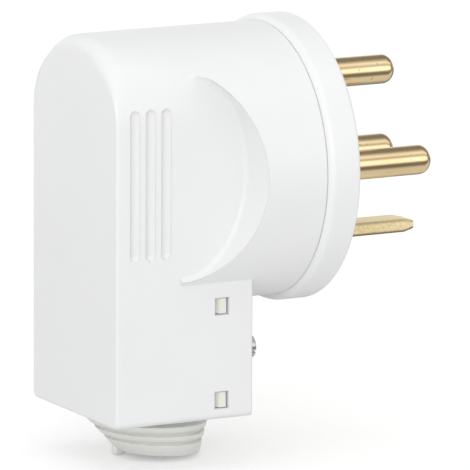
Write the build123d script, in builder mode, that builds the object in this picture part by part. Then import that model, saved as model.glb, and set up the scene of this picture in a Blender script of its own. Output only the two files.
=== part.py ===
from build123d import *
import math
import os

# Angled three-phase plug, millimetres. The origin is the centre of the mating face,
# +X runs out along the contact pins, +Z is up and the cord leaves downwards, along -Z.

os.makedirs("parts", exist_ok=True)

# Clearances
slip_gap = 0.2          # plastic pieces that slide into each other
seat_gap = 0.03         # pressed or threaded round fits
running_gap = 0.06      # screws that turn in a plain hole
seam_gap = 0.1          # shadow line between the pin carrier and the housing
clear_gap = 0.6         # pieces that only pass each other

# Pin carrier, the disc with the contact pins
disc_radius = 36.0
disc_depth = 8.5
disc_front_round = 0.8
disc_rear_round = 1.6
spigot_depth = 6.1

# Housing, a round barrel over a box
body_radius = 34.4
body_half_width = 22.7
body_depth = 60.9
wall = 2.3
box_front_setback = 23.1
box_drop = 60.5
corner_round = 1.0
corner_round_share = 0.8    # how much of that round shows before the back face cuts it

# Rounded rear shoulder, from the crisp corner in front to the arch of the back face
shoulder_length = 21.7
arch_shoulder_y = 15.5
arch_shoulder_z = 29.0
arch_foot_z = 14.0
arch_round = 4.0
arch_first_angle = 24.0
arch_round_steps = 6
arch_corner_draw_y = 0.78   # which way the arch's corner draws in over its round
arch_corner_draw_z = 0.62
shoulder_steps = 6
bottom_corner_round = 1.5

# Finger pad on each side of the barrel
pad_setback = 43.2
pad_lift = 1.2
pad_reach = 18.2
pad_half_height = 26.2
pad_root_round = 1.2

# Grip grooves
groove_count = 3
groove_pitch = 4.3
groove_width = 2.6
groove_depth = 1.1
groove_side = 0.1           # straight side left above the rounded floor
groove_middle_setback = 51.5
groove_bottom = -19.0
groove_top = 18.5

# Snap windows and the lugs that catch in them
window_front_margin = 6.5   # from the front of the box to the windows
window_length = 3.9
window_height = 4.3
window_rise = 4.9           # from the bottom of the box to the middle of the lower windows
window_pitch = 23.6
lug_side_gap = 0.2
lug_catch_gap = 0.5
lug_sink = 0.6
lug_ramp = 1.5

# Contact pins
pin_radius = 3.75
pin_length = 34.1
pin_tip_flat = 0.8
pin_root_margin = 0.3       # the thicker root inside the carrier, flush with its face
pin_half_pitch = 9.5
pin_row_z = -2.3
top_pin_z = 18.05
collar_margin = 1.2
collar_depth = 2.5
stub_radius = 3.0
stub_depth = 4.5

# Flat earth blade
blade_width = 7.4
blade_thickness = 3.3
blade_z = -20.2
blade_taper = 4.2
blade_edge_draw = 1.0       # how far the narrow edges draw in at the tip
blade_face_draw = 0.8       # how far the broad faces draw in at the tip
blade_stub_width = 5.0

# Pin retaining plate and the insulating barrier on it
plate_edge_gap = 3.6
plate_depth = 5.5
barrier_thickness = 1.6
barrier_depth = 18.5
barrier_groove = 1.5
barrier_margin = 3.0        # how far the barrier stands past the terminal blocks

# Wire terminals
block_side = 11.0
block_depth = 10.0
block_chamfer = 0.8
clamp_plate_margin = 0.7
clamp_plate_thickness = 1.5
clamp_plate_chamfer = 1.2
wire_gap = 3.0
terminal_screw_radius = 2.0
terminal_screw_entry = 1.5
terminal_head_radius = 3.5
terminal_head_height = 3.0
terminal_head_round = 0.4
terminal_slot_depth = 1.3

# Slotted screws
slot_width = 1.0
slot_share = 0.5            # of a small head's height that its slot cuts
point_share = 1 / 3         # of a shank's radius that the chamfer at its end takes

# Screws that hold the retaining plate to the carrier
plate_screw_places = [(-8.0, 12.0), (13.5, -14.0), (-13.5, -14.0)]
plate_screw_radius = 1.3
plate_screw_bite = 5.0
plate_head_radius = 2.6
plate_head_height = 2.0
plate_head_round = 0.8

# Screws that hold the carrier to the posts of the housing
post_angles = [111.8, -58.7, -121.3]
post_inset = 5.2            # from the inside of the barrel to the posts' axes
post_radius = 3.5
rib_thickness = 1.6
rib_front_setback = 33.6
rib_root = 0.6
fixing_screw_radius = 1.75
fixing_screw_length = 28.0
fixing_head_radius = 3.3
fixing_head_height = 2.5
fixing_head_round = 1.2
fixing_sink = 0.9

# Front cover of the cord clamp
cover_thickness = 2.5
arm_thickness = 2.0
arm_rear_margin = 1.6
saddle_screw_gap = 3.5
saddle_depth = 5.4
saddle_height = 8.0

# Cord clamp
clamp_rise = 16.5           # from the bottom of the box to the clamp screws
clamp_screw_inset = 3.4     # from the inside of the side walls to the clamp screws
clamp_screw_radius = 1.5
clamp_screw_end = 0.5       # how far they stand out behind their inserts
clamp_head_radius = 2.9
clamp_head_height = 2.3
clamp_head_round = 0.4
clamp_slot_width = 0.8
clamp_slot_depth = 1.1
clamp_slot_turn = 20.0
washer_margin = 0.2
washer_thickness = 0.5
bar_rear_gap = 6.5          # behind the bar, to the inside of the back wall
bar_depth = 5.0
bar_height = 10.0
bar_round = 1.0
bar_end_gap = 0.4
bar_notch_depth = 1.6
insert_wall = 0.9
insert_overhang = 1.0

# Cable grommet
grommet_top_setback = 42.0
grommet_top_radius = 17.0
grommet_lip_setback = 37.5
grommet_lip_radius = 10.5
grommet_drop = 11.2
grommet_slant = 0.05        # the tiers hang lower towards the front, by this share of the way
grommet_tiers = [(2.6, 4.2), (5.4, 6.9), (8.0, grommet_drop)]
grommet_groove = 1.2
neck_draw = 5.45            # from the top of the cone in to the neck
neck_shift = 2.5            # the neck's axis, ahead of the top of the cone
flange_overhang = 1.65
flange_thickness = 2.2
cord_radius = 6.5
nub_length = 2.8
nub_width = 2.6
nub_height = 2.8
nub_drop = 1.0              # how far it hangs past the lip
nub_inset = 0.6             # from the lip's edge in to the middle of the nub
nub_y = 3.0
nub_round = 0.65

# Places worked out from the sizes above
back_x = -body_depth
seam_x = -disc_depth - seam_gap
box_front_x = -box_front_setback
spigot_rear_x = -disc_depth - spigot_depth
plate_rear_x = spigot_rear_x - plate_depth
block_rear_x = plate_rear_x - block_depth
shoulder_fall = math.sqrt(body_radius**2 - arch_shoulder_y**2) - arch_shoulder_z
inner_half_width = body_half_width - wall
inner_radius = body_radius - wall
inner_back_x = back_x + wall
box_floor_z = -box_drop
inner_floor_z = box_floor_z + wall
post_circle = inner_radius - post_inset
post_places = [
    (post_circle * math.cos(math.radians(angle)), post_circle * math.sin(math.radians(angle)))
    for angle in post_angles
]
cover_rear_x = box_front_x - cover_thickness
fixing_seat_x = -fixing_sink - fixing_head_height
clamp_z = box_floor_z + clamp_rise
clamp_screw_y = inner_half_width - clamp_screw_inset
clamp_seat_x = box_front_x + washer_thickness
clamp_places = [(-clamp_screw_y, clamp_z), (clamp_screw_y, clamp_z)]
clamp_plate_x = block_rear_x - wire_gap
terminal_seat_x = clamp_plate_x - clamp_plate_thickness - running_gap
terminal_screw_length = clamp_plate_thickness + wire_gap + terminal_screw_entry
clamp_plate_side = block_side - 2 * clamp_plate_margin
bar_rear_x = inner_back_x + bar_rear_gap
bar_front_x = bar_rear_x + bar_depth
insert_radius = clamp_screw_radius + insert_wall
clamp_screw_length = clamp_seat_x + running_gap - bar_rear_x + insert_overhang + clamp_screw_end
saddle_half_width = clamp_screw_y - clamp_screw_radius - saddle_screw_gap
window_front_x = box_front_x - window_front_margin
window_rear_x = window_front_x - window_length
window_places = [box_floor_z + window_rise, box_floor_z + window_rise + window_pitch]
cord_x = -grommet_lip_setback
cord_room = cord_radius + clear_gap + slip_gap
neck_x = neck_shift - grommet_top_setback
neck_radius = grommet_top_radius - neck_draw
pin_root_radius = pin_radius + pin_root_margin
collar_radius = pin_root_radius + collar_margin
blade_collar_width = blade_width + 2 * collar_margin
blade_collar_thickness = blade_thickness + 2 * collar_margin
barrier_front_x = plate_rear_x + barrier_groove
barrier_top = top_pin_z + block_side / 2 + barrier_margin
barrier_shelf_z = (pin_row_z + top_pin_z) / 2
barrier_shelf_reach = pin_half_pitch + block_side / 2 + barrier_margin
barrier_floor_z = (pin_row_z + blade_z) / 2
barrier_floor_half = block_side / 2 + barrier_margin
line_pins = {
    "left": (-pin_half_pitch, pin_row_z),
    "right": (pin_half_pitch, pin_row_z),
    "top": (pin_half_pitch, top_pin_z),
}
terminals = dict(line_pins, earth=(0.0, blade_z))


def at_x(x, y=0.0, z=0.0):
    # A plane square to X at that depth, with its own x along +Y and its own y along +Z.
    return Plane(origin=(x, y, z), x_dir=(0, 1, 0), z_dir=(1, 0, 0))


def shoulder_section(run, draw, edge_draw, inset):
    # One section of the rear shoulder, at that run ahead of the back face: rounded bottom
    # corners, straight sides up to the foot of the arch, a side arc on each hand and a top
    # arc. The share is 1 at the back face and falls to 0 where the shoulder meets the barrel.
    share = (shoulder_length - run) / shoulder_length
    half = body_half_width - inset - edge_draw
    floor = box_floor_z + inset + edge_draw
    turn = bottom_corner_round
    corner_y = body_half_width - inset - share * (body_half_width - arch_shoulder_y)
    corner_z = math.sqrt((body_radius - inset) ** 2 - corner_y**2) - share**2 * shoulder_fall
    corner_y -= arch_corner_draw_y * draw
    corner_z -= arch_corner_draw_z * draw
    top_z = body_radius - inset - draw
    with BuildSketch(at_x(back_x + inset + run)) as section:
        with BuildLine():
            Line((turn - half, floor), (half - turn, floor))
            TangentArc((half - turn, floor), (half, floor + turn), tangent=(1, 0))
            TangentArc((turn - half, floor), (-half, floor + turn), tangent=(-1, 0))
            Line((half, floor + turn), (half, arch_foot_z))
            Line((-half, floor + turn), (-half, arch_foot_z))
            if share > 0:
                TangentArc((half, arch_foot_z), (corner_y, corner_z), tangent=(0, 1))
                TangentArc((-half, arch_foot_z), (-corner_y, corner_z), tangent=(0, 1))
            else:
                Line((half, arch_foot_z), (corner_y, corner_z))
                Line((-half, arch_foot_z), (-corner_y, corner_z))
            ThreePointArc((corner_y, corner_z), (0, top_z), (-corner_y, corner_z))
        make_face()
    return section.sketch


def body_form(inset, front_x):
    # The housing's outer form, drawn in all round by the inset, with its box run to front_x.
    half = body_half_width - inset
    first_angle = math.radians(arch_first_angle)
    first_run = arch_round * (1 - math.cos(first_angle))
    lip_run = arch_round - first_run
    with BuildPart() as lip:
        for step in range(arch_round_steps + 1):
            angle = first_angle + (math.pi / 2 - first_angle) * step / arch_round_steps
            run = arch_round * (1 - math.cos(angle)) - first_run
            edge_run = corner_round_share * max(corner_round - run, 0)
            edge_draw = corner_round - math.sqrt(corner_round**2 - edge_run**2)
            add(shoulder_section(run, arch_round * (1 - math.sin(angle)), edge_draw, inset))
        loft(ruled=True)
    with BuildPart() as shoulder:
        for step in range(shoulder_steps + 1):
            run = lip_run + (shoulder_length - lip_run) * step / shoulder_steps
            add(shoulder_section(run, 0, 0, inset))
        loft(ruled=True)
    shoulder_front_x = back_x + inset + shoulder_length
    with BuildPart() as pad:
        with BuildSketch(Plane.XZ.offset(-half)):
            with Locations((-pad_setback, pad_lift)):
                Ellipse(pad_reach + inset, pad_half_height + inset)
        extrude(amount=-body_radius)
        fillet(pad.faces().sort_by(Axis.Y)[0].edges(), pad_root_round + inset)
    with BuildPart() as form:
        with BuildSketch(at_x(shoulder_front_x)):
            Circle(body_radius - inset)
        extrude(amount=seam_x - shoulder_front_x)
        with BuildSketch(at_x(-pad_setback)):
            Circle(body_radius - inset)
            Rectangle(2 * body_radius, body_radius, align=(Align.CENTER, Align.MIN), mode=Mode.SUBTRACT)
        extrude(amount=shoulder_front_x + pad_setback)
        add(pad.part, mode=Mode.SUBTRACT)
        add(pad.part.mirror(Plane.XZ), mode=Mode.SUBTRACT)
        with BuildSketch(at_x(shoulder_front_x, 0, (box_floor_z + inset) / 2)) as box_end:
            Rectangle(2 * half, box_drop - inset)
            fillet(box_end.vertices().group_by(Axis.Y)[0], bottom_corner_round)
        extrude(amount=front_x - shoulder_front_x)
        add(shoulder.part)
        add(lip.part)
    return form.part


def screw(head_radius, head_height, head_round, cut_width, cut_depth, shank_radius, shank_length):
    # A slotted screw whose head sits on the origin and faces +X, with its shank along -X.
    with BuildPart() as made:
        with BuildSketch(at_x(0)):
            Circle(head_radius)
        extrude(amount=head_height)
        fillet(made.faces().sort_by(Axis.X)[-1].edges(), head_round)
        with BuildSketch(at_x(head_height)):
            Rectangle(2 * head_radius, cut_width)
        extrude(amount=-cut_depth, mode=Mode.SUBTRACT)
        with BuildSketch(at_x(0)):
            Circle(shank_radius)
        extrude(amount=-shank_length)
        chamfer(made.faces().sort_by(Axis.X)[0].edges(), point_share * shank_radius)
    return made.part


# Housing: a hollow barrel and box in one moulding, open in front
with BuildPart() as groove_cut:
    with BuildSketch(Plane.XZ.offset(body_half_width - groove_depth)):
        with Locations((-groove_middle_setback, (groove_bottom + groove_top) / 2)):
            with GridLocations(groove_pitch, 1, groove_count, 1):
                SlotOverall(groove_top - groove_bottom, groove_width, rotation=90)
    extrude(amount=2 * groove_depth)
    groove_floors = groove_cut.faces().filter_by(Axis.Y).group_by(Axis.Y)[-1]
    fillet(groove_floors.edges(), groove_depth - groove_side)

with BuildPart() as housing:
    add(body_form(0, box_front_x))
    add(body_form(wall, cover_rear_x), mode=Mode.SUBTRACT)
    with BuildSketch(at_x(cover_rear_x)) as box_mouth:
        with Locations((0, inner_floor_z / 2)):
            Rectangle(2 * inner_half_width, -inner_floor_z)
        fillet(box_mouth.vertices().group_by(Axis.Y)[0], bottom_corner_round)
        Circle(body_radius, mode=Mode.SUBTRACT)
    extrude(amount=cover_thickness, mode=Mode.SUBTRACT)
    add(groove_cut.part, mode=Mode.SUBTRACT)
    add(groove_cut.part.mirror(Plane.XZ), mode=Mode.SUBTRACT)
    with BuildSketch(Plane.XZ.offset(body_half_width)):
        with Locations(*[(window_rear_x + window_length / 2, z) for z in window_places]):
            Rectangle(window_length, window_height)
    extrude(amount=-2 * body_half_width, mode=Mode.SUBTRACT)
    with BuildSketch(Plane.XY.offset(box_floor_z)):
        with Locations((neck_x, 0)):
            Circle(neck_radius + seat_gap)
    extrude(amount=wall, mode=Mode.SUBTRACT)
    with BuildSketch(at_x(spigot_rear_x)):
        with Locations(*post_places):
            Circle(post_radius)
    extrude(amount=inner_back_x - spigot_rear_x - rib_root)
    rib_length = -rib_front_setback - inner_back_x + rib_root
    top_post_y, top_post_z = post_places[0]
    low_post_y, low_post_z = post_places[1]
    with BuildSketch(at_x(inner_back_x - rib_root)):
        with Locations((top_post_y, (top_post_z + inner_radius - rib_root) / 2)):
            Rectangle(rib_thickness, inner_radius - rib_root - top_post_z)
        for side in (-1, 1):
            with Locations((side * (low_post_y + inner_half_width + rib_root) / 2, low_post_z)):
                Rectangle(inner_half_width + rib_root - low_post_y, rib_thickness)
    extrude(amount=rib_length)
    with BuildSketch(at_x(spigot_rear_x)):
        with Locations(*post_places):
            Circle(fixing_screw_radius + seat_gap)
    extrude(amount=fixing_seat_x - fixing_screw_length - clear_gap - spigot_rear_x, mode=Mode.SUBTRACT)
housing.part.label = "housing"
export_step(housing.part, "parts/housing.step")


# Pin carrier: the disc in front and the spigot that slides into the barrel
with BuildPart() as pin_carrier:
    with BuildSketch(at_x(-disc_depth)):
        Circle(disc_radius)
    extrude(amount=disc_depth)
    fillet(pin_carrier.faces().sort_by(Axis.X)[-1].edges(), disc_front_round)
    fillet(pin_carrier.faces().sort_by(Axis.X)[0].edges(), disc_rear_round)
    with BuildSketch(at_x(-disc_depth)):
        Circle(inner_radius - slip_gap)
    extrude(amount=-spigot_depth)
    with BuildSketch(at_x(0)):
        with Locations(*line_pins.values()):
            Circle(pin_root_radius + seat_gap)
        with Locations((0, blade_z)):
            Rectangle(blade_width + 2 * seat_gap, blade_thickness + 2 * seat_gap)
        with Locations(*post_places):
            Circle(fixing_screw_radius + slip_gap)
    extrude(amount=spigot_rear_x, mode=Mode.SUBTRACT)
    with BuildSketch(at_x(0)):
        with Locations(*post_places):
            Circle(fixing_head_radius + slip_gap)
    extrude(amount=fixing_seat_x, mode=Mode.SUBTRACT)
    with BuildSketch(at_x(spigot_rear_x)):
        with Locations(*plate_screw_places):
            Circle(plate_screw_radius + seat_gap)
    extrude(amount=plate_screw_bite + clear_gap, mode=Mode.SUBTRACT)
pin_carrier.part.label = "pin_carrier"
export_step(pin_carrier.part, "parts/pin_carrier.step")


# Round contact pins, each with a thicker root in the carrier, a collar behind it and a stub
# for its terminal
for name, place in line_pins.items():
    with BuildPart() as line_pin:
        with BuildSketch(at_x(0, *place)):
            Circle(pin_radius)
        extrude(amount=pin_length)
        fillet(line_pin.faces().sort_by(Axis.X)[-1].edges(), pin_radius - pin_tip_flat)
        with BuildSketch(at_x(0, *place)):
            Circle(pin_root_radius)
        extrude(amount=spigot_rear_x)
        with BuildSketch(at_x(spigot_rear_x, *place)):
            Circle(collar_radius)
        extrude(amount=-collar_depth)
        with BuildSketch(at_x(spigot_rear_x, *place)):
            Circle(stub_radius)
        extrude(amount=-plate_depth - stub_depth)
    line_pin.part.label = f"line_pin_{name}"
    export_step(line_pin.part, f"parts/line_pin_{name}.step")


# Flat earth blade, tapered on all four sides at its tip
with BuildPart() as earth_blade:
    with BuildSketch(at_x(spigot_rear_x, 0, blade_z)):
        Rectangle(blade_width, blade_thickness)
    extrude(amount=pin_length - blade_taper - spigot_rear_x)
    with BuildSketch(at_x(pin_length - blade_taper, 0, blade_z)):
        Rectangle(blade_width, blade_thickness)
    with BuildSketch(at_x(pin_length, 0, blade_z)):
        Rectangle(blade_width - 2 * blade_edge_draw, blade_thickness - 2 * blade_face_draw)
    loft()
    with BuildSketch(at_x(spigot_rear_x, 0, blade_z)):
        Rectangle(blade_collar_width, blade_collar_thickness)
    extrude(amount=-collar_depth)
    with BuildSketch(at_x(spigot_rear_x, 0, blade_z)):
        Rectangle(blade_stub_width, blade_thickness)
    extrude(amount=-plate_depth - stub_depth)
earth_blade.part.label = "earth_blade"
export_step(earth_blade.part, "parts/earth_blade.step")


# Retaining plate: holds the collars in, notched round the posts, grooved for the barrier
with BuildPart() as pin_retaining_plate:
    with BuildSketch(at_x(spigot_rear_x)):
        Circle(inner_radius - plate_edge_gap)
        with Locations(*post_places):
            Circle(post_radius + clear_gap, mode=Mode.SUBTRACT)
        with Locations(*line_pins.values()):
            Circle(stub_radius + slip_gap, mode=Mode.SUBTRACT)
        with Locations((0, blade_z)):
            Rectangle(blade_stub_width + 2 * slip_gap, blade_thickness + 2 * slip_gap, mode=Mode.SUBTRACT)
        with Locations(*plate_screw_places):
            Circle(plate_screw_radius + slip_gap, mode=Mode.SUBTRACT)
    extrude(amount=-plate_depth)
    with BuildSketch(at_x(spigot_rear_x)):
        with Locations(*line_pins.values()):
            Circle(collar_radius + slip_gap)
        with Locations((0, blade_z)):
            Rectangle(blade_collar_width + 2 * slip_gap, blade_collar_thickness + 2 * slip_gap)
    extrude(amount=-collar_depth, mode=Mode.SUBTRACT)
    with BuildSketch(at_x(plate_rear_x)):
        groove = barrier_thickness + slip_gap
        with Locations((0, (barrier_floor_z + barrier_top) / 2)):
            Rectangle(groove, barrier_top - barrier_floor_z + groove)
        with Locations((barrier_shelf_reach / 2, barrier_shelf_z)):
            Rectangle(barrier_shelf_reach + slip_gap, groove)
        with Locations((0, barrier_floor_z)):
            Rectangle(2 * barrier_floor_half + slip_gap, groove)
    extrude(amount=barrier_groove, mode=Mode.SUBTRACT)
pin_retaining_plate.part.label = "pin_retaining_plate"
export_step(pin_retaining_plate.part, "parts/pin_retaining_plate.step")


# Insulating barrier between the terminals
with BuildPart() as terminal_barrier:
    with BuildSketch(at_x(barrier_front_x)):
        with Locations((0, (barrier_floor_z + barrier_top) / 2)):
            Rectangle(barrier_thickness, barrier_top - barrier_floor_z + barrier_thickness)
        with Locations((barrier_shelf_reach / 2, barrier_shelf_z)):
            Rectangle(barrier_shelf_reach, barrier_thickness)
        with Locations((0, barrier_floor_z)):
            Rectangle(2 * barrier_floor_half, barrier_thickness)
    extrude(amount=-barrier_groove - barrier_depth)
terminal_barrier.part.label = "terminal_barrier"
export_step(terminal_barrier.part, "parts/terminal_barrier.step")


# Wire terminals: a block on each pin's stub, a clamp plate behind it and its screw
terminal_screw = screw(
    terminal_head_radius,
    terminal_head_height,
    terminal_head_round,
    slot_width,
    terminal_slot_depth,
    terminal_screw_radius,
    terminal_screw_length,
)
for name, place in terminals.items():
    with BuildPart() as block:
        with BuildSketch(at_x(plate_rear_x, *place)):
            Rectangle(block_side, block_side)
        extrude(amount=-block_depth)
        chamfer(block.edges().filter_by(Axis.X), block_chamfer)
        with BuildSketch(at_x(plate_rear_x, *place)):
            if name == "earth":
                Rectangle(blade_stub_width + 2 * seat_gap, blade_thickness + 2 * seat_gap)
            else:
                Circle(stub_radius + seat_gap)
        extrude(amount=-stub_depth, mode=Mode.SUBTRACT)
        with BuildSketch(at_x(block_rear_x, *place)):
            Circle(terminal_screw_radius + running_gap)
        extrude(amount=block_depth - stub_depth, mode=Mode.SUBTRACT)
    block.part.label = f"terminal_block_{name}"
    export_step(block.part, f"parts/terminal_block_{name}.step")

    with BuildPart() as wire_clamp:
        with BuildSketch(at_x(clamp_plate_x, *place)):
            Rectangle(clamp_plate_side, clamp_plate_side)
            Circle(terminal_screw_radius + running_gap, mode=Mode.SUBTRACT)
        extrude(amount=-clamp_plate_thickness)
        chamfer(wire_clamp.edges().filter_by(Axis.X).filter_by(GeomType.LINE), clamp_plate_chamfer)
    wire_clamp.part.label = f"wire_clamp_{name}"
    export_step(wire_clamp.part, f"parts/wire_clamp_{name}.step")

    with BuildPart() as placed_screw:
        with Locations(Location((terminal_seat_x, *place), (0, 0, 180))):
            add(terminal_screw)
    placed_screw.part.label = f"terminal_screw_{name}"
    export_step(placed_screw.part, f"parts/terminal_screw_{name}.step")


# Screws that hold the retaining plate to the carrier
plate_screw = screw(
    plate_head_radius,
    plate_head_height,
    plate_head_round,
    slot_width,
    slot_share * plate_head_height,
    plate_screw_radius,
    plate_depth + plate_screw_bite,
)
with BuildPart() as plate_screws:
    with Locations(*[Location((plate_rear_x, *place), (0, 0, 180)) for place in plate_screw_places]):
        add(plate_screw)
plate_screws.part.label = "plate_screws"
export_step(plate_screws.part, "parts/plate_screws.step")


# Screws that hold the carrier to the housing's posts
fixing_screw = screw(
    fixing_head_radius,
    fixing_head_height,
    fixing_head_round,
    slot_width,
    slot_share * fixing_head_height,
    fixing_screw_radius,
    fixing_screw_length,
)
with BuildPart() as fixing_screws:
    with Locations(*[(fixing_seat_x, *place) for place in post_places]):
        add(fixing_screw)
fixing_screws.part.label = "fixing_screws"
export_step(fixing_screws.part, "parts/fixing_screws.step")


# Front cover of the box, with the cord saddle and four snap arms on its back
with BuildPart() as front_cover:
    with BuildSketch(at_x(cover_rear_x)) as cover_outline:
        with Locations((0, (inner_floor_z + slip_gap) / 2)):
            Rectangle(2 * (inner_half_width - slip_gap), -inner_floor_z - slip_gap)
        fillet(cover_outline.vertices().group_by(Axis.Y)[0], bottom_corner_round)
        Circle(body_radius + slip_gap, mode=Mode.SUBTRACT)
    extrude(amount=cover_thickness)
    with BuildSketch(at_x(cover_rear_x, 0, clamp_z)):
        Rectangle(2 * saddle_half_width, saddle_height)
    extrude(amount=-saddle_depth)
    with BuildSketch(Plane.XY.offset(clamp_z - saddle_height)):
        with Locations((cord_x, 0)):
            Circle(cord_room)
    extrude(amount=2 * saddle_height, mode=Mode.SUBTRACT)
    lug_root = inner_half_width - slip_gap
    lug_tip = body_half_width - lug_sink
    arm_rear_x = window_rear_x - arm_rear_margin
    arm_height = window_height - 2 * lug_side_gap
    for window_z in window_places:
        for side in (-1, 1):
            with BuildSketch(at_x(cover_rear_x, side * (lug_root - arm_thickness / 2), window_z)):
                Rectangle(arm_thickness, arm_height)
            extrude(amount=arm_rear_x - cover_rear_x)
            with BuildSketch(Plane.XY.offset(window_z - arm_height / 2)):
                with BuildLine():
                    Polyline(
                        (window_rear_x + lug_side_gap, side * lug_root),
                        (window_rear_x + lug_side_gap + lug_ramp, side * lug_tip),
                        (window_front_x - lug_catch_gap, side * lug_tip),
                        (window_front_x - lug_catch_gap, side * (lug_root - arm_thickness / 2)),
                        (window_rear_x + lug_side_gap, side * (lug_root - arm_thickness / 2)),
                        close=True,
                    )
                make_face()
            extrude(amount=arm_height)
    with BuildSketch(at_x(cover_rear_x)):
        with Locations(*clamp_places):
            Circle(clamp_screw_radius + running_gap)
    extrude(amount=cover_thickness, mode=Mode.SUBTRACT)
front_cover.part.label = "front_cover"
export_step(front_cover.part, "parts/front_cover.step")


# Cord clamp: two washers, two screws, the bar behind the cord and its threaded inserts
with BuildPart() as clamp_washers:
    with BuildSketch(at_x(box_front_x)):
        with Locations(*clamp_places):
            Circle(clamp_head_radius + washer_margin)
            Circle(clamp_screw_radius + running_gap, mode=Mode.SUBTRACT)
    extrude(amount=washer_thickness)
clamp_washers.part.label = "clamp_washers"
export_step(clamp_washers.part, "parts/clamp_washers.step")

clamp_screw = screw(
    clamp_head_radius,
    clamp_head_height,
    clamp_head_round,
    clamp_slot_width,
    clamp_slot_depth,
    clamp_screw_radius,
    clamp_screw_length,
)
for name, place in zip(("left", "right"), clamp_places):
    with BuildPart() as placed_screw:
        with Locations(Location((clamp_seat_x + running_gap, *place), (clamp_slot_turn, 0, 0))):
            add(clamp_screw)
    placed_screw.part.label = f"clamp_screw_{name}"
    export_step(placed_screw.part, f"parts/clamp_screw_{name}.step")

with BuildPart() as clamp_bar:
    with BuildSketch(at_x(bar_rear_x, 0, clamp_z)):
        Rectangle(2 * (inner_half_width - bar_end_gap), bar_height)
    extrude(amount=bar_depth)
    fillet(clamp_bar.edges().filter_by(Axis.X), bar_round)
    with BuildSketch(at_x(bar_rear_x)):
        with Locations(*clamp_places):
            Circle(insert_radius + seat_gap)
    extrude(amount=bar_depth, mode=Mode.SUBTRACT)
    with BuildSketch(Plane.XY.offset(clamp_z - bar_height)):
        with Locations((bar_front_x - bar_notch_depth + cord_room, 0)):
            Circle(cord_room)
    extrude(amount=2 * bar_height, mode=Mode.SUBTRACT)
clamp_bar.part.label = "clamp_bar"
export_step(clamp_bar.part, "parts/clamp_bar.step")

with BuildPart() as clamp_inserts:
    with BuildSketch(at_x(bar_rear_x)):
        with Locations(*clamp_places):
            Circle(insert_radius)
    extrude(amount=bar_depth)
    with BuildSketch(at_x(bar_rear_x)):
        with Locations(*clamp_places):
            Circle(insert_radius + clear_gap)
    extrude(amount=-insert_overhang)
    with BuildSketch(at_x(bar_front_x)):
        with Locations(*clamp_places):
            Circle(clamp_screw_radius + running_gap)
    extrude(amount=-bar_depth - insert_overhang, mode=Mode.SUBTRACT)
clamp_inserts.part.label = "clamp_inserts"
export_step(clamp_inserts.part, "parts/clamp_inserts.step")


def grommet_ring(depth, draw):
    # A circle of the grommet's slanted envelope, that far under the box and hanging lower in front.
    share = depth / grommet_drop
    setback = grommet_top_setback + share * (grommet_lip_setback - grommet_top_setback)
    radius = grommet_top_radius + share * (grommet_lip_radius - grommet_top_radius)
    level = Plane((-setback, 0, box_floor_z - depth), z_dir=(grommet_slant, 0, 1))
    with BuildSketch(level) as ring:
        Circle(radius - draw)
    return ring.sketch


# Cable grommet: a slanted, stepped cone below the box, a neck through it and a flange inside
with BuildPart() as cable_grommet:
    first_top, first_bottom = grommet_tiers[0]
    add(grommet_ring(first_top, grommet_groove))
    add(grommet_ring(grommet_drop, grommet_groove))
    loft()
    for tier_top, tier_bottom in grommet_tiers:
        add(grommet_ring(tier_top, 0))
        add(grommet_ring(tier_bottom, 0))
        loft()
    neck_foot = (first_top + first_bottom) / 2
    with BuildSketch(Plane.XY.offset(box_floor_z - neck_foot)):
        with Locations((neck_x, 0)):
            Circle(neck_radius)
    extrude(amount=neck_foot + wall)
    with BuildSketch(Plane.XY.offset(inner_floor_z)):
        with Locations((neck_x, 0)):
            Circle(neck_radius + flange_overhang)
    extrude(amount=flange_thickness)
    nub_x = nub_inset - grommet_lip_setback - math.sqrt(grommet_lip_radius**2 - nub_y**2)
    with BuildSketch(Plane.XY.offset(box_floor_z - grommet_drop - nub_drop)):
        with Locations((nub_x, nub_y)):
            RectangleRounded(nub_length, nub_width, nub_round)
    extrude(amount=nub_height)
    with BuildSketch(Plane.XY.offset(box_floor_z - grommet_drop - nub_drop)):
        with Locations((cord_x, 0)):
            Circle(cord_radius)
    extrude(amount=nub_drop + grommet_drop + wall + flange_thickness, mode=Mode.SUBTRACT)
cable_grommet.part.label = "cable_grommet"
export_step(cable_grommet.part, "parts/cable_grommet.step")
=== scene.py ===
import bpy
import math
import numpy as np
from mathutils import Matrix, Vector


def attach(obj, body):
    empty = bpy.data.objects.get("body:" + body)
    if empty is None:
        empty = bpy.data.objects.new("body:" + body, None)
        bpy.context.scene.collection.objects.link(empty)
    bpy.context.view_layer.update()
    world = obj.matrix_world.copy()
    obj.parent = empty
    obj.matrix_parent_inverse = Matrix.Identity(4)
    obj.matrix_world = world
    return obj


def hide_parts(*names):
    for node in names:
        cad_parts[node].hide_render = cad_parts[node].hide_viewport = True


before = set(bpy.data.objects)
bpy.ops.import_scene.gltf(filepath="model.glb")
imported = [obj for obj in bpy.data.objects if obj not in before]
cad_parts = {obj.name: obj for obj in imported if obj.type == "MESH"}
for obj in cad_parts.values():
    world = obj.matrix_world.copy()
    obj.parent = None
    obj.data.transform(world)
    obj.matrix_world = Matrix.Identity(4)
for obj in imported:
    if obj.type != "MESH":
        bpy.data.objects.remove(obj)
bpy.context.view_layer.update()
print("frame loaded")

mm = 0.001
scene = bpy.context.scene
scene.view_settings.view_transform = "Standard"

# Camera, at the photo's own angle
photoView = {
    "azimuth": 28.508,      # degrees, from straight beside the plug towards its back
    "elevation": 10.708,
    "roll": -0.332,
    "distance": 1.6174,     # metres from the centre of the mating face
    "aside": -0.01386,
    "raised": -0.02033,
    "lens": 494.0,          # mm, for a picture of this width
    "pictureWidth": 36,
    "nearest": 0.05,        # metres, where the view starts
}


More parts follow.
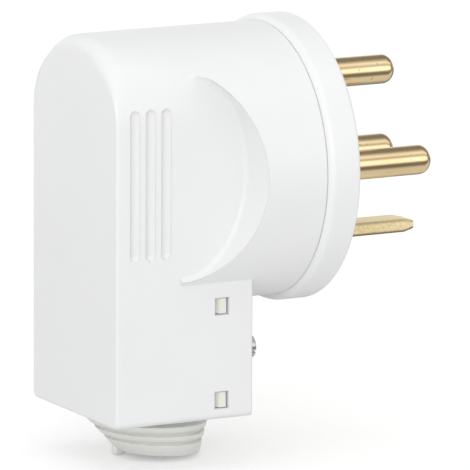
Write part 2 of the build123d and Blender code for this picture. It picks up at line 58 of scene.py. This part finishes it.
def placeCamera(view):
    # The camera stands back along a ray of that azimuth and elevation and looks down the ray,
    # shifted sideways and upwards square to it, then turned about it by the roll.
    a, e, roll = (math.radians(view[key]) for key in ("azimuth", "elevation", "roll"))
    back = Vector((-math.sin(a) * math.cos(e), -math.cos(a) * math.cos(e), math.sin(e)))
    right = Vector((math.cos(a), -math.sin(a), 0))
    up = Vector((math.sin(a) * math.sin(e), math.cos(a) * math.sin(e), math.cos(e)))
    across = math.cos(roll) * right - math.sin(roll) * up
    upward = math.sin(roll) * right + math.cos(roll) * up
    turned = Matrix((across, upward, back)).transposed().to_4x4()
    turned.translation = back * view["distance"] + right * view["aside"] + up * view["raised"]
    lens = bpy.data.cameras.new("photoCamera")
    lens.sensor_fit = "HORIZONTAL"
    lens.sensor_width = view["pictureWidth"]
    lens.lens = view["lens"]
    lens.clip_start = view["nearest"]
    camera = bpy.data.objects.new("photoCamera", lens)
    camera.matrix_world = turned
    scene.collection.objects.link(camera)
    scene.camera = camera


placeCamera(photoView)

# Studio: a pale floor just under the grommet, an even white sky, one soft lamp overhead and one
# beside the camera
studio = {
    "floorSize": 8.0,
    "floorLevel": -0.0730,
    "floorColour": 0.77,        # what the floor throws back at matt pieces
    "floorSeen": 0.72,          # its colour for the camera and in reflections
    "floorLift": 0.34,          # light that only these see
    "floorRoughness": 0.9,
    "floorSheen": 0.1,
    "sky": 0.87,                # its light on matt pieces
    "skySeen": 1.0,             # its level for the camera and in reflections
    "lamps": {                  # place in metres, size, power
        "overhead": ((-0.10, -0.15, 1.50), 1.6, 3.0),
        "besideCamera": ((-1.45, -1.65, 0.57), 1.2, 11.8),
    },
}


def levelByRay(nodes, links, elsewhere, seen):
    # One level for the camera, reflections and what shows through, and another for what lights
    # matt pieces: the larger of the three ray tests turns the one into the other.
    rays = nodes.new("ShaderNodeLightPath")
    either = nodes.new("ShaderNodeMath")
    either.operation = "MAXIMUM"
    links.new(rays.outputs["Is Camera Ray"], either.inputs[0])
    links.new(rays.outputs["Is Glossy Ray"], either.inputs[1])
    anyOf = nodes.new("ShaderNodeMath")
    anyOf.operation = "MAXIMUM"
    links.new(either.outputs[0], anyOf.inputs[0])
    links.new(rays.outputs["Is Transmission Ray"], anyOf.inputs[1])
    level = nodes.new("ShaderNodeMapRange")
    level.inputs["To Min"].default_value = elsewhere
    level.inputs["To Max"].default_value = seen
    links.new(anyOf.outputs[0], level.inputs["Value"])
    return level.outputs["Result"]


def makeStudio(s):
    # A square floor in matt paper, an even sky and the square lamps, which all face the plug.
    half, level = s["floorSize"] / 2, s["floorLevel"]
    corners = [(-half, -half, level), (half, -half, level), (half, half, level), (-half, half, level)]
    floorMesh = bpy.data.meshes.new("floor")
    floorMesh.from_pydata(corners, [], [(0, 1, 2, 3)])
    floor = bpy.data.objects.new("floor", floorMesh)
    scene.collection.objects.link(floor)
    paper = bpy.data.materials.new("paper")
    paper.use_nodes = True
    nodes, links = paper.node_tree.nodes, paper.node_tree.links
    shader = nodes["Principled BSDF"]
    links.new(levelByRay(nodes, links, s["floorColour"], s["floorSeen"]), shader.inputs["Base Color"])
    shader.inputs["Roughness"].default_value = s["floorRoughness"]
    shader.inputs["Specular IOR Level"].default_value = s["floorSheen"]
    shader.inputs["Emission Color"].default_value = (1, 1, 1, 1)
    links.new(levelByRay(nodes, links, 0, s["floorLift"]), shader.inputs["Emission Strength"])
    floorMesh.materials.append(paper)

    sky = bpy.data.worlds.new("sky")
    scene.world = sky
    sky.use_nodes = True
    nodes, links = sky.node_tree.nodes, sky.node_tree.links
    background = nodes["Background"]
    background.inputs["Color"].default_value = (1, 1, 1, 1)
    links.new(levelByRay(nodes, links, s["sky"], s["skySeen"]), background.inputs["Strength"])

    for name, (spot, size, power) in s["lamps"].items():
        light = bpy.data.lights.new(name, "AREA")
        light.shape = "SQUARE"
        light.size = size
        light.energy = power
        lamp = bpy.data.objects.new(name, light)
        lamp.location = spot
        lamp.rotation_euler = Vector(spot).to_track_quat("Z", "Y").to_euler()
        scene.collection.objects.link(lamp)


makeStudio(studio)

# Three sheets that only reflections see, so that the metal has the dark and light bands of a photo
# studio: one arches over the plug along X, one lies on the floor and one stands past the tips
sheets = {
    "from": -0.6, "to": 1.2, "radius": 0.5, "floorLevel": -0.0725,
    "arch": [  # degrees up from the horizon on the camera's side, over the top to the far side; level
        (-8.4, 0.4), (-1, 1.1), (7, 1.5), (22, 1.5), (31, 1.15), (39, 0.6), (46, 0.65), (55, 1.0),
        (63, 1.15), (71, 1.0), (80, 0.65), (90, 0.4), (101, 0.25), (124, 0.25), (142, 0.35),
        (158, 0.8), (166, 1.0), (188, 1.0)],
    "floor": [  # metres along Y, from the camera's side to the far side; level
        (-0.50, 0.4), (-0.25, 0.2), (-0.15, 0.2), (-0.11, 0.3), (-0.085, 0.6), (-0.065, 0.75),
        (0.005, 0.75), (0.03, 0.5), (0.06, 0.35), (0.15, 0.2), (0.50, 0.15)],
    "end": (1.2, -0.0725, 0.5, 0.35),  # x, lowest and highest z, level of the board past the tips
}


def makeSheet(name, rows):
    # A strip through the two end points of each row, with that row's level of grey.
    points = [point for *ends, level in rows for point in ends]
    faces = [(2 * i, 2 * i + 1, 2 * i + 3, 2 * i + 2) for i in range(len(rows) - 1)]
    mesh = bpy.data.meshes.new(name)
    mesh.from_pydata(points, [], faces)
    greys = mesh.attributes.new("grey", "FLOAT", "POINT")
    greys.data.foreach_set("value", [level for *ends, level in rows for point in ends])
    glow = bpy.data.materials.new(name)
    glow.use_nodes = True
    glow.cycles.emission_sampling = "NONE"
    nodes, links = glow.node_tree.nodes, glow.node_tree.links
    nodes.clear()
    shown = nodes.new("ShaderNodeEmission")
    read = nodes.new("ShaderNodeAttribute")
    read.attribute_name = "grey"
    links.new(read.outputs["Fac"], shown.inputs["Strength"])
    end = nodes.new("ShaderNodeOutputMaterial")
    links.new(shown.outputs[0], end.inputs["Surface"])
    mesh.materials.append(glow)
    sheet = bpy.data.objects.new(name, mesh)
    scene.collection.objects.link(sheet)
    for kind in ("camera", "diffuse", "transmission", "shadow", "volume_scatter"):
        setattr(sheet, f"visible_{kind}", False)


def archRow(s, angle, level):
    # That angle's point on the arch: minus the cosine across Y and the sine up Z, times the radius.
    y, z = -s["radius"] * math.cos(math.radians(angle)), s["radius"] * math.sin(math.radians(angle))
    return (s["from"], y, z), (s["to"], y, z), level


def floorRow(s, y, level):
    # A line along X on the floor, at that y.
    return (s["from"], y, s["floorLevel"]), (s["to"], y, s["floorLevel"]), level


def endRow(s, y):
    # An upright past the tips, at that y.
    x, low, high, level = s["end"]
    return (x, y, low), (x, y, high), level


makeSheet("archSheet", [archRow(sheets, *row) for row in sheets["arch"]])
makeSheet("floorSheet", [floorRow(sheets, *row) for row in sheets["floor"]])
makeSheet("endSheet", [endRow(sheets, side * sheets["radius"]) for side in (-1, 1)])
print("camera and studio set")


# Finishes
edgeSamples = 6     # for the rounded look of an edge


def newFinish(name):
    # A new material, its nodes and links, its shader, and the place on the piece.
    finish = bpy.data.materials.new(name)
    finish.use_nodes = True
    nodes, links = finish.node_tree.nodes, finish.node_tree.links
    place = nodes.new("ShaderNodeTexCoord")
    return finish, nodes, links, nodes["Principled BSDF"], place.outputs["Object"]


def noiseOf(nodes, links, place, scale, detail, stretch=None):
    # A noise pattern of that many cells to the metre, with finer layers as detail, and drawn out
    # along the axes whose share in stretch is below 1.
    source = place
    if stretch is not None:
        mapping = nodes.new("ShaderNodeMapping")
        mapping.inputs["Scale"].default_value = stretch
        links.new(place, mapping.inputs["Vector"])
        source = mapping.outputs["Vector"]
    noise = nodes.new("ShaderNodeTexNoise")
    noise.inputs["Scale"].default_value = scale
    noise.inputs["Detail"].default_value = detail
    links.new(source, noise.inputs["Vector"])
    return noise.outputs["Fac"]


def spreadOf(nodes, links, value, low, high, fromLow=0.3, fromHigh=0.7):
    # A straight line from the pattern's usual range, or the one given, to the wanted one.
    spread = nodes.new("ShaderNodeMapRange")
    spread.inputs["From Min"].default_value = fromLow
    spread.inputs["From Max"].default_value = fromHigh
    spread.inputs["To Min"].default_value = low
    spread.inputs["To Max"].default_value = high
    links.new(value, spread.inputs["Value"])
    return spread.outputs["Result"]


def tintOf(nodes, links, value, first, second):
    # From the first colour to the second as the value goes from 0 to 1.
    mix = nodes.new("ShaderNodeMix")
    mix.data_type = "RGBA"
    mix.inputs[6].default_value = (*first, 1)
    mix.inputs[7].default_value = (*second, 1)
    links.new(value, mix.inputs[0])
    return mix.outputs[2]


def blendOf(nodes, links, share, colour, other):
    # From a colour that varies already to one other as the share goes from 0 to 1.
    mix = nodes.new("ShaderNodeMix")
    mix.data_type = "RGBA"
    links.new(share, mix.inputs[0])
    links.new(colour, mix.inputs[6])
    mix.inputs[7].default_value = (*other, 1)
    return mix.outputs[2]


def markedOf(nodes, links, colour, mark, markColour):
    # The colour, turned to the mark's own where the piece's attribute of that name is 1.
    read = nodes.new("ShaderNodeAttribute")
    read.attribute_name = mark
    return blendOf(nodes, links, read.outputs["Fac"], colour, markColour)


def roundedNormal(nodes, radius):
    # Edges look as if they were rounded by that radius.
    bevel = nodes.new("ShaderNodeBevel")
    bevel.samples = edgeSamples
    bevel.inputs["Radius"].default_value = radius
    return bevel


def softShoulder(nodes, links, place, bevel, look):
    # The rounding grows to the shoulder's own radius above and behind two levels, where the moulded
    # shoulder runs into the sides without an edge.
    apart = nodes.new("ShaderNodeSeparateXYZ")
    links.new(place, apart.inputs[0])
    above = spreadOf(nodes, links, apart.outputs["Z"], 0, 1, *look["shoulderUp"])
    behind = spreadOf(nodes, links, apart.outputs["X"], 0, 1, *look["shoulderBack"])
    both = nodes.new("ShaderNodeMath")
    both.operation = "MULTIPLY"
    links.new(above, both.inputs[0])
    links.new(behind, both.inputs[1])
    links.new(spreadOf(nodes, links, both.outputs[0], look["edge"], look["shoulderRound"], 0, 1),
              bevel.inputs["Radius"])


def bumpOf(nodes, links, height, distance, strength, normal):
    # The pattern as relief of that depth in metres, on top of the normal it is given.
    bump = nodes.new("ShaderNodeBump")
    bump.inputs["Distance"].default_value = distance
    bump.inputs["Strength"].default_value = strength
    links.new(height, bump.inputs["Height"])
    links.new(normal, bump.inputs["Normal"])
    return bump.outputs["Normal"]


def roughnessOf(nodes, links, shader, pattern, roughness, spread):
    # The roughness, uneven by the spread's two ends as the pattern goes through its range.
    links.new(spreadOf(nodes, links, pattern, roughness + spread[0], roughness + spread[1]),
              shader.inputs["Roughness"])


plastic = {
    "cloudScale": 45, "ior": 1.49, "spread": (-0.04, 0.05),
    "grainDepth": 0.00003,      # metres
}


def mouldedPlastic(name, look):
    # Moulded plastic: faint clouding, a fine satin grain, softly rounded edges and painted shade
    # in the grooves where the piece has such a mark.
    finish, nodes, links, shader, place = newFinish(name)
    cloud = noiseOf(nodes, links, place, plastic["cloudScale"], detail=3)
    grain = noiseOf(nodes, links, place, look["grainScale"], detail=3)
    share = spreadOf(nodes, links, cloud, 0, 1)
    coloured = tintOf(nodes, links, share, look["colour"], look["colourTwo"])
    # Painted shade: the marked grooves get a darker colour, standing in for the shade that falls in them.
    if "paintedGrooveShade" in look:
        coloured = markedOf(nodes, links, coloured, "groove", look["paintedGrooveShade"])
    links.new(coloured, shader.inputs["Base Color"])
    roughnessOf(nodes, links, shader, grain, look["roughness"], plastic["spread"])
    shader.inputs["IOR"].default_value = plastic["ior"]
    bevel = roundedNormal(nodes, look["edge"])
    if "shoulderRound" in look:
        softShoulder(nodes, links, place, bevel, look)
    relief = bumpOf(nodes, links, grain, plastic["grainDepth"], look["grainStrength"],
                    bevel.outputs["Normal"])
    links.new(relief, shader.inputs["Normal"])
    return finish


drawnMetal = {
    "lineScale": 900, "lineDraw": 0.02,     # cells to the metre, and how far they are drawn out
    "pitScale": 900, "pitEdge": 0.05, "pitColour": (0.16, 0.11, 0.06),
    "spread": (-0.04, 0.08), "depth": 0.00002,
}


def brass(name, look):
    # Drawn brass: fine lines along the piece, a fine grain, clouded tarnish, dark pits, and painted
    # shade on the corners where the piece has such a mark, standing in for dark reflections.
    finish, nodes, links, shader, place = newFinish(name)
    metal = drawnMetal
    lines = noiseOf(nodes, links, place, metal["lineScale"], detail=2, stretch=(metal["lineDraw"], 1, 1))
    cloud = noiseOf(nodes, links, place, look["cloudScale"], detail=4, stretch=(look["cloudDraw"], 1, 1))
    pits = noiseOf(nodes, links, place, metal["pitScale"], detail=1)
    tone = tintOf(nodes, links, spreadOf(nodes, links, cloud, 0, 1, *look["cloudRange"]),
                  look["colour"], look["tarnish"])
    pitFrom = look["pitFrom"]
    pitShare = spreadOf(nodes, links, pits, 0, look["pits"], pitFrom, pitFrom + metal["pitEdge"])
    coloured = blendOf(nodes, links, pitShare, tone, metal["pitColour"])
    # Painted shade: the marked corners turn to this dark colour, standing in for dark reflections.
    if "paintedShadeColour" in look:
        coloured = markedOf(nodes, links, coloured, "paintedShadeRim", look["paintedShadeColour"])
    links.new(coloured, shader.inputs["Base Color"])
    roughnessOf(nodes, links, shader, lines, look["roughness"], metal["spread"])
    shader.inputs["Metallic"].default_value = look["metallic"]
    bevel = roundedNormal(nodes, look["edge"])
    drawn = bumpOf(nodes, links, lines, metal["depth"], look["lineStrength"], bevel.outputs["Normal"])
    grain = noiseOf(nodes, links, place, look["grainScale"], detail=2)
    relief = bumpOf(nodes, links, grain, metal["depth"], look["grainStrength"], drawn)
    links.new(relief, shader.inputs["Normal"])
    return finish


def steel(name, look):
    # Plated steel: bright and slightly uneven, with fine turning marks, and a dark tint to its
    # reflection at grazing angles, which paints shade along the outlines.
    finish, nodes, links, shader, place = newFinish(name)
    cloud = noiseOf(nodes, links, place, look["cloudScale"], detail=3)
    marks = noiseOf(nodes, links, place, look["markScale"], detail=2, stretch=look["markDraw"])
    share = spreadOf(nodes, links, cloud, 0, 1)
    links.new(tintOf(nodes, links, share, look["colour"], look["colourTwo"]), shader.inputs["Base Color"])
    roughnessOf(nodes, links, shader, marks, look["roughness"], look["spread"])
    shader.inputs["Metallic"].default_value = 1
    # Painted shade: a dark tint at grazing angles darkens the outlines, standing in for dark reflections.
    shader.inputs["Specular Tint"].default_value = (*look["paintedOutlineShade"], 1)
    bevel = roundedNormal(nodes, look["edge"])
    relief = bumpOf(nodes, links, marks, look["depth"], look["markStrength"], bevel.outputs["Normal"])
    links.new(relief, shader.inputs["Normal"])
    return finish


finishes = {
    "shell_white": mouldedPlastic("shellWhite", {
        "colour": (0.862, 0.866, 0.868), "colourTwo": (0.846, 0.850, 0.853),
        "roughness": 0.40, "grainScale": 2600, "grainStrength": 0.10, "edge": 0.0005,
        "shoulderRound": 0.003, "shoulderUp": (0.0195, 0.024), "shoulderBack": (-0.038, -0.044)}),
    "carrier_white": mouldedPlastic("carrierWhite", {
        "colour": (0.875, 0.880, 0.882), "colourTwo": (0.858, 0.863, 0.866),
        "roughness": 0.36, "grainScale": 3000, "grainStrength": 0.08, "edge": 0.0004}),
    "cover_ivory": mouldedPlastic("coverIvory", {
        "colour": (0.86, 0.855, 0.80), "colourTwo": (0.835, 0.83, 0.775),
        "roughness": 0.46, "grainScale": 2400, "grainStrength": 0.14, "edge": 0.0003}),
    "insulator_grey": mouldedPlastic("insulatorGrey", {
        "colour": (0.62, 0.62, 0.60), "colourTwo": (0.58, 0.58, 0.565),
        "roughness": 0.55, "grainScale": 1800, "grainStrength": 0.2, "edge": 0.0002}),
    "grommet_grey": mouldedPlastic("grommetGrey", {
        "colour": (0.890, 0.900, 0.865), "colourTwo": (0.860, 0.870, 0.835),
        # painted shade in the grooves
        "paintedGrooveShade": (0.815, 0.815, 0.770),
        "roughness": 0.58, "grainScale": 1500, "grainStrength": 0.25, "edge": 0.0003}),
    "pin_brass": brass("pinBrass", {
        "colour": (0.91, 0.72, 0.44), "tarnish": (0.80, 0.60, 0.33), "grainScale": 2600,
        "grainStrength": 0.25, "roughness": 0.12, "lineStrength": 0.7, "pitFrom": 0.69, "pits": 0.4,
        "edge": 0.0002,
        "cloudScale": 160, "cloudDraw": 0.35, "cloudRange": (0.3, 0.7), "metallic": 1.0}),
    "blade": brass("bladeBrass", {
        "colour": (1.0, 0.93, 0.62), "tarnish": (0.90, 0.64, 0.28), "grainScale": 2000,
        "grainStrength": 0.8, "roughness": 0.36, "lineStrength": 0.3, "pitFrom": 0.74, "pits": 0.3,
        "edge": 0.0002,
        "cloudScale": 3400, "cloudDraw": 1.0, "cloudRange": (0.38, 0.60), "metallic": 0.1,
        # painted shade on the blade's corners, standing in for dark reflections
        "paintedShadeColour": (0.17, 0.12, 0.06)}),
    "terminal_brass": brass("terminalBrass", {
        "colour": (0.82, 0.63, 0.35), "tarnish": (0.70, 0.52, 0.27), "grainScale": 2000,
        "grainStrength": 0.4, "roughness": 0.32, "lineStrength": 0.5, "pitFrom": 0.72, "pits": 0.6,
        "edge": 0.0002,
        "cloudScale": 160, "cloudDraw": 0.35, "cloudRange": (0.3, 0.7), "metallic": 1.0}),
    "screw_steel": steel("screwSteel", {
        "colour": (0.63, 0.63, 0.62), "colourTwo": (0.45, 0.45, 0.45), "paintedOutlineShade": (0.35, 0.35, 0.36),
        "roughness": 0.17, "spread": (-0.05, 0.08), "cloudScale": 300, "markScale": 2500,
        "markDraw": (1, 0.3, 0.3), "markStrength": 0.3, "depth": 0.00002, "edge": 0.0002}),
}
print("finishes mixed")


# Shapes worked out as grids of points
sharpFrom = 32      # degrees between two faces, from which their edge shades sharp


def arcPath(corners, cuts, steps):
    # A path through the corners, in any number of dimensions. Each corner is replaced by the circular
    # arc that touches both of its sides at that cut from it, as a weighted mean of the two touching
    # points and the corner, with the cosine of half the turn as the corner's weight.
    corners = np.array(corners, float)
    share = np.linspace(0, 1, steps)[:, None]
    parts = [corners[:1]]
    for before, corner, after, cut in zip(corners, corners[1:], corners[2:], cuts):
        back = (before - corner) / np.linalg.norm(before - corner)
        ahead = (after - corner) / np.linalg.norm(after - corner)
        weight = np.sqrt((1 - back @ ahead) / 2)
        first, middle, last = (1 - share) ** 2, 2 * weight * share * (1 - share), share**2
        arc = first * (corner + cut * back) + middle * corner + last * (corner + cut * ahead)
        parts.append(arc / (first + middle + last))
    parts.append(corners[-1:])
    return np.vstack(parts)


def skin(name, rings, wrap=False):
    # Four-sided faces between neighbouring rings of points, each ring closed on itself. An open row of
    # rings gets a fan at each end, to the mean of the end ring. The faces are turned over if the sum of
    # their corners' triple products, six times the volume but for the fans' share, is below zero.
    count, around = rings.shape[:2]
    points = rings.reshape(-1, 3)
    i, j = np.meshgrid(np.arange(count if wrap else count - 1), np.arange(around), indexing="ij")
    k, n = (i + 1) % count, (j + 1) % around
    quads = np.stack([i * around + j, i * around + n, k * around + n, k * around + j], -1).reshape(-1, 4)
    faces = quads.tolist()
    if not wrap:
        points = np.vstack([points, rings[0].mean(0), rings[-1].mean(0)])
        turn = np.arange(around)
        last = (count - 1) * around
        top, end = np.full(around, count * around), np.full(around, count * around + 1)
        faces += np.stack([turn, top, (turn + 1) % around], -1).tolist()
        faces += np.stack([last + turn, last + (turn + 1) % around, end], -1).tolist()
    a, b, c, d = (points[quads[:, corner]] for corner in range(4))
    if (np.cross(a, b) * c).sum() + (np.cross(a, c) * d).sum() < 0:
        faces = [face[::-1] for face in faces]
    mesh = bpy.data.meshes.new(name)
    mesh.from_pydata(points.tolist(), [], faces)
    mesh.shade_smooth()
    mesh.set_sharp_from_angle(angle=math.radians(sharpFrom))
    piece = bpy.data.objects.new(name, mesh)
    scene.collection.objects.link(piece)
    return piece


def markPoints(piece, name, values):
    # One number for each point of the piece, which its finish reads by that name.
    mark = piece.data.attributes.new(name, "FLOAT", "POINT")
    mark.data.foreach_set("value", np.ravel(values).astype(np.float32))


def turnedRings(path, y, z, around):
    # A path of (x, radius) turned about an axis along X: each point goes once round in the YZ plane.
    turn = np.linspace(0, 2 * math.pi, around, endpoint=False)
    x, radius = path[:, :1], path[:, 1:]
    return np.stack([x + 0 * turn, y + radius * np.cos(turn), z + radius * np.sin(turn)], -1) * mm


def dress(piece, body, node, slotName, finish=None):
    # The piece gets its finish, rides on its body and stands for its node.
    piece.data.materials.append(finishes[finish or slotName])
    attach(piece, body)
    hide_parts(node)


# Round contact pins: stub, collar, root, shank and rounded tip, turned in one piece
pin = {  # in mm; stub, collar, root and shank are each the x where they begin and a radius
    "stub": (-24.6, 3.0), "collar": (-17.1, 5.25), "root": (-14.6, 4.05), "shank": (0.0, 3.75),
    "tip": 34.1, "tipRound": 2.95, "edge": 0.18, "shoulder": 0.1,
    "stubFlat": 0.6, "tipFlat": 0.3, "steps": 15, "around": 96,
    "places": {"line_pin_left": (-9.5, -2.3), "line_pin_right": (9.5, -2.3), "line_pin_top": (9.5, 18.05)},
}


def pinPath(p):
    # The pin's outline from the end of the stub to the tip, as (x, radius) with rounded corners.
    corners = [(p["stub"][0], p["stubFlat"]), p["stub"], (p["collar"][0], p["stub"][1]), p["collar"],
               (p["root"][0], p["collar"][1]), p["root"], (p["shank"][0], p["root"][1]), p["shank"],
               (p["tip"], p["shank"][1]), (p["tip"], p["tipFlat"])]
    return arcPath(corners, [p["edge"]] * 5 + [p["shoulder"]] * 2 + [p["tipRound"]], p["steps"])


for node, (y, z) in pin["places"].items():
    rings = turnedRings(pinPath(pin), y, z, pin["around"])
    made = skin(node.replace("line_pin", "roundPin"), rings)
    dress(made, "plug_body", node, "pin_brass")
print("round pins made")


# Flat earth blade with its collar and stub
blade = {
    "z": -20.2, "edge": 0.3, "tipRound": 0.2, "steps": 5, "perCorner": 6,
    "sections": [  # x, half width, half thickness, in mm
        (-24.6, 2.5, 1.65), (-17.1, 2.5, 1.65), (-17.1, 4.9, 2.85), (-14.6, 4.9, 2.85),
        (-14.6, 3.7, 1.65), (31.0, 3.7, 1.65), (34.1, 3.05, 1.05)],
    "cuts": [0.1, 0.2, 0.2, 0.1, 0.25],
    "paintedShadeRim": 0.5, "paintedShadeTipRim": 1.2,      # how far the painted shade of a corner runs onto the flats
    "paintedShadeAlong": (0.3, 0.5, 1, 1),  # how much painted shade each corner gets, most at the bottom: top far, top near, bottom near and far
    "paintedShadeTip": (0.8, 0.45, 1, 1), "tipFrom": 31.0,
    "paintedShadeEnds": (0, 0.5),           # painted shade at the middles of the stub's end and of the tip
}


def bladeRings(b):
    # Rounded oblongs carried along X: each corner is a quarter circle about a point drawn in by the
    # edge radius, and the half width and half thickness follow the sections. Each quarter circle has
    # one more point at either end, slid along the flat by the painted shade's rim. Also gives each
    # point's share of painted shade, which stands in for dark reflections along the corners.
    perCorner, drawn = b["perCorner"], b["tipRound"]
    path = arcPath(b["sections"], b["cuts"], b["steps"])
    path = np.vstack([path[:-1], path[-1] - (drawn, 0, 0), path[-1] - (0, drawn, drawn)])
    quarter = np.pad(np.linspace(0, math.pi / 2, perCorner), 1, mode="edge")
    turn = np.concatenate([quarter + side * math.pi / 2 for side in range(4)])
    arc = np.pad(np.ones(perCorner), 1)
    slide = np.tile((1 - arc) * np.sign(np.arange(perCorner + 2) - 1), 4)
    signY = np.repeat([1, -1, -1, 1], perCorner + 2)
    signZ = np.repeat([1, 1, -1, -1], perCorner + 2)
    x, wide, thick = path[:, :1], path[:, 1:2], path[:, 2:3]
    across = np.where(x < b["tipFrom"], b["paintedShadeRim"], b["paintedShadeTipRim"])
    y = signY * (wide - b["edge"]) + b["edge"] * np.cos(turn) - across * slide * np.sin(turn)
    z = (b["z"] + signZ * (thick - b["edge"]) + b["edge"] * np.sin(turn)
         + b["paintedShadeRim"] * slide * np.cos(turn))
    # Painted shade: each corner's share from the tables, on its arc only, for dark reflections there.
    along, tip = (np.repeat(b[key], perCorner + 2) for key in ("paintedShadeAlong", "paintedShadeTip"))
    dark = np.where(x < b["tipFrom"], along, tip) * np.tile(arc, 4)
    return np.stack([x + 0 * y, y, z], -1) * mm, dark


bladePoints, bladePaintedShade = bladeRings(blade)
earthBlade = skin("earthBlade", bladePoints)
# the blade's painted shade along its corners, which its finish reads
markPoints(earthBlade, "paintedShadeRim", np.append(bladePaintedShade, blade["paintedShadeEnds"]))
dress(earthBlade, "plug_body", "earth_blade", "pin_brass", "blade")
print("earth blade made")


# Cable grommet: slanted stepped cone, neck, inner flange and bore
grommet = {  # in mm, depths down from the box's floor
    "boxFloor": -60.5, "drop": 11.2, "slant": 0.05,   # the tiers hang lower towards the front
    "top": (-42.0, 17.0), "lip": (-37.5, 10.5),       # centre x and radius
    "tiers": [(2.6, 4.2), (5.4, 6.9), (8.0, 11.2)], "groove": 1.2,
    "neckX": -39.5, "neck": 11.55, "flange": 13.2, "flangeBottom": -58.2, "flangeTop": -56.0,
    "bore": 6.5, "edge": 0.3, "steps": 5, "around": 160,
    "nub": {"x": -46.96, "y": 3.0, "length": 2.8, "width": 2.6, "height": 2.8, "drop": 1.0,
            "edge": 0.5, "endShare": 0.6, "endRound": 0.3, "steps": 4, "perCorner": 5},
}


def grommetRings(g):
    # One closed path of (z, centre x, radius, slant, groove): down the neck and the stepped outside,
    # across the lip, up the bore, across the flange and down the neck. Each point of it is a circle
    # that hangs lower towards the front, by its slant times the distance from its centre. The last
    # value is 1 at the bottom of a groove, where the finish paints shade, and is given back for every
    # point of the rings.
    def envelope(depth, draw):
        share = depth / g["drop"]
        centre, radius = (1 - share) * np.array(g["top"]) + share * np.array(g["lip"])
        return g["boxFloor"] - depth, centre, radius - draw, g["slant"], draw > 0
    outside = []
    for top, bottom in g["tiers"]:
        outside += [envelope(top, g["groove"]), envelope(top, 0),
                    envelope(bottom, 0), envelope(bottom, g["groove"])]
    under = g["boxFloor"] - g["tiers"][0][0]
    outside = [(under, g["neckX"], g["neck"], g["slant"], 0)] + outside[1:-1]
    lip = g["boxFloor"] - g["drop"]
    inside = [(lip, g["lip"][0], g["bore"], g["slant"], 0),
              (g["flangeTop"], g["lip"][0], g["bore"], 0, 0),
              (g["flangeTop"], g["neckX"], g["flange"], 0, 0),
              (g["flangeBottom"], g["neckX"], g["flange"], 0, 0),
              (g["flangeBottom"], g["neckX"], g["neck"], 0, 0)]
    corners = outside + inside
    loop = [corners[-1]] + corners + [corners[0]]
    path = arcPath(loop, [g["edge"]] * len(corners), g["steps"])[1:-1]
    turn = np.linspace(0, 2 * math.pi, g["around"], endpoint=False)
    z, x, radius, slant, groove = (path[:, i:i + 1] for i in range(5))
    ahead = radius * np.cos(turn)
    return np.stack([x + ahead, radius * np.sin(turn), z - slant * ahead], -1) * mm, groove + 0 * turn


def nubRings(g):
    # A small block that hangs from the lip: rounded oblongs stacked along Z, drawn in at both ends.
    n = g["nub"]
    perCorner = n["perCorner"]
    low = g["boxFloor"] - g["drop"] - n["drop"]
    high = low + n["height"]
    path = arcPath([(low, n["endShare"]), (low, 1), (high, 1), (high, n["endShare"])],
                   [n["endRound"]] * 2, n["steps"])
    quarter = np.linspace(0, math.pi / 2, perCorner)
    turn = np.concatenate([quarter + side * math.pi / 2 for side in range(4)])
    signX = np.repeat([1, -1, -1, 1], perCorner)
    signY = np.repeat([1, 1, -1, -1], perCorner)
    z, share = path[:, :1], path[:, 1:]
    x = n["x"] + share * (signX * (n["length"] / 2 - n["edge"]) + n["edge"] * np.cos(turn))
    y = n["y"] + share * (signY * (n["width"] / 2 - n["edge"]) + n["edge"] * np.sin(turn))
    return np.stack([x, y, z + 0 * x], -1) * mm


grommetPoints, grommetPaintedShade = grommetRings(grommet)
cableGrommet = skin("cableGrommet", grommetPoints, True)
# the grooves' marks, which the finish turns into painted shade
markPoints(cableGrommet, "groove", grommetPaintedShade)
dress(cableGrommet, "plug_body", "cable_grommet", "grommet_grey")
dress(skin("grommetNub", nubRings(grommet)), "plug_body", "cable_grommet", "grommet_grey")
print("grommet made")


# Nodes that keep their own shape get their finish
replaced = {*pin["places"], "earth_blade", "cable_grommet"}
for name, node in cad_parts.items():
    if name in replaced:
        continue
    wanted = node.data.materials[0].name.split(".")[0]
    node.data.materials[0] = finishes[wanted]
print("carried-over nodes finished")
